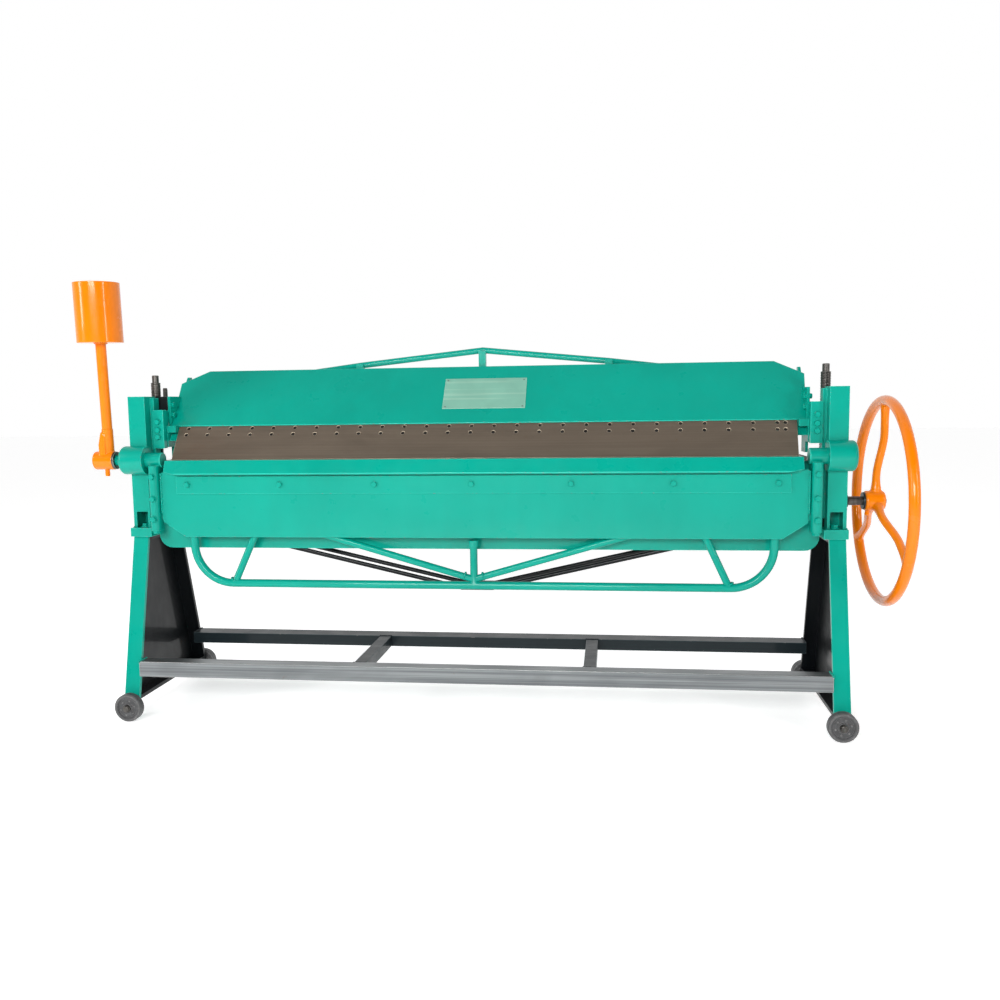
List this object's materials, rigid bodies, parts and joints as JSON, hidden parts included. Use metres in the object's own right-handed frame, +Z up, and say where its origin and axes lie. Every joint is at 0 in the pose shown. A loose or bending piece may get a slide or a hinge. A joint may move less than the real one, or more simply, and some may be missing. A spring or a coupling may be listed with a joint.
{
  "type": "sheet metal brake",
  "caption": "Hand sheet metal brake on a wheeled stand: leaning clamping beam raised by a handwheel, hinged folding apron with tubular handle and counterweight.",
  "frame": {"origin": "middle of the footprint, on the floor", "axes": "+X along the bed from the counterweight to the handwheel, +Y away from the operator, +Z up"},
  "size_m": [2.5942, 0.6598, 1.4212],
  "materials": {
    "green_paint": "gloss teal-green paint over plate, section and bar",
    "black_paint": "satin black paint",
    "charcoal_paint": "dark grey-green satin paint",
    "orange_paint": "gloss orange paint on the pieces the operator moves",
    "rail_steel": "bare rolled steel section",
    "blade_steel": "bare tool steel with a brown oiled tone",
    "dark_steel": "dark oiled machined steel",
    "wheel_polymer": "hard dark grey wheel polymer",
    "label_plate": "blank pale green plate"
  },
  "bodies": {
    "stand": {"axle_front_l": "dark_steel", "axle_front_r": "dark_steel", "axle_rear_l": "dark_steel", "axle_rear_r": "dark_steel", "bed_beam": "black_paint", "bed_end_l": "black_paint", "bed_end_r": "black_paint", "bed_front_plate": "green_paint", "bed_plate": "dark_steel", "bed_rod_back": "black_paint", "bed_rod_front": "black_paint", "bed_strut": "black_paint", "cross_member_l": "charcoal_paint", "cross_member_r": "charcoal_paint", "flange_bearing": "charcoal_paint", "front_leg_l": "green_paint", "front_leg_r": "green_paint", "front_rail": "rail_steel", "gear_case_l": "black_paint", "gear_case_r": "black_paint", "pivot_housing_l": "green_paint", "pivot_housing_r": "green_paint", "post_foot_l": "green_paint", "post_foot_r": "green_paint", "post_l": "green_paint", "post_r": "green_paint", "rear_rail": "charcoal_paint", "side_frame_l": "black_paint", "side_frame_r": "black_paint"},
    "clamp_beam": {"clamp_blade": "blade_steel", "clamp_end_l": "green_paint", "clamp_end_r": "green_paint", "clamp_face_plate": "green_paint", "clamp_spine": "green_paint", "clamp_truss": "green_paint", "lift_nut_l": "black_paint", "lift_nut_r": "black_paint", "rating_plate": "label_plate", "slider_l": "green_paint", "slider_r": "green_paint"},
    "folding_beam": {"apron_nose": "green_paint", "apron_plate": "green_paint", "apron_strip": "green_paint", "arm_hub": "orange_paint", "counterweight": "orange_paint", "counterweight_arm": "orange_paint", "handle_frame": "green_paint", "pivot_bracket_l": "green_paint", "pivot_bracket_r": "green_paint", "pivot_pin_l": "green_paint", "pivot_pin_r": "green_paint", "shaft_collar": "dark_steel"},
    "handwheel": {"handwheel": "orange_paint", "cross_shaft": "dark_steel"},
    "spindle_left": {"spindle_l": "dark_steel"},
    "spindle_right": {"spindle_r": "dark_steel"},
    "wheel_front_left": {"wheel_front_l": "wheel_polymer"},
    "wheel_front_right": {"wheel_front_r": "wheel_polymer"},
    "wheel_rear_left": {"wheel_rear_l": "wheel_polymer"},
    "wheel_rear_right": {"wheel_rear_r": "wheel_polymer"}
  },
  "joints": [
    {"name": "fold", "type": "hinge", "parent": "stand", "child": "folding_beam", "pos_m": [-0.0032, -0.11, 0.84], "axis": [-1, 0, 0], "range_deg": [0, 120]},
    {"name": "handwheel_turn", "type": "hinge", "parent": "stand", "child": "handwheel", "pos_m": [1.2806, 0, 0.6915], "axis": [1, 0, 0], "range_deg": [0, 1800]},
    {"name": "clamp_lift", "type": "slide", "parent": "stand", "child": "clamp_beam", "axis": [0, 0, 1], "range_m": [0, 0.05]},
    {"name": "spindle_right_turn", "type": "hinge", "parent": "stand", "child": "spindle_right", "pos_m": [1.0998, 0, 0.84], "axis": [0, 0, 1], "range_deg": [0, 1800]},
    {"name": "spindle_left_turn", "type": "hinge", "parent": "stand", "child": "spindle_left", "pos_m": [-1.1062, 0, 0.84], "axis": [0, 0, 1], "range_deg": [-1800, 0]},
    {"name": "wheel_front_left_roll", "type": "hinge", "parent": "stand", "child": "wheel_front_left", "pos_m": [-1.1217, -0.2555, 0.045], "axis": [0, 1, 0], "continuous": true},
    {"name": "wheel_front_right_roll", "type": "hinge", "parent": "stand", "child": "wheel_front_right", "pos_m": [1.1153, -0.2555, 0.045], "axis": [0, 1, 0], "continuous": true},
    {"name": "wheel_rear_left_roll", "type": "hinge", "parent": "stand", "child": "wheel_rear_left", "pos_m": [-1.1217, 0.3035, 0.045], "axis": [0, 1, 0], "continuous": true},
    {"name": "wheel_rear_right_roll", "type": "hinge", "parent": "stand", "child": "wheel_rear_right", "pos_m": [1.1153, 0.3035, 0.045], "axis": [0, 1, 0], "continuous": true}
  ],
  "couplings": [
    {"joint": "clamp_lift", "follows": "handwheel_turn", "m_per_rad": 0.0015915},
    {"joint": "spindle_right_turn", "follows": "handwheel_turn", "ratio": 1},
    {"joint": "spindle_left_turn", "follows": "handwheel_turn", "ratio": -1}
  ]
}
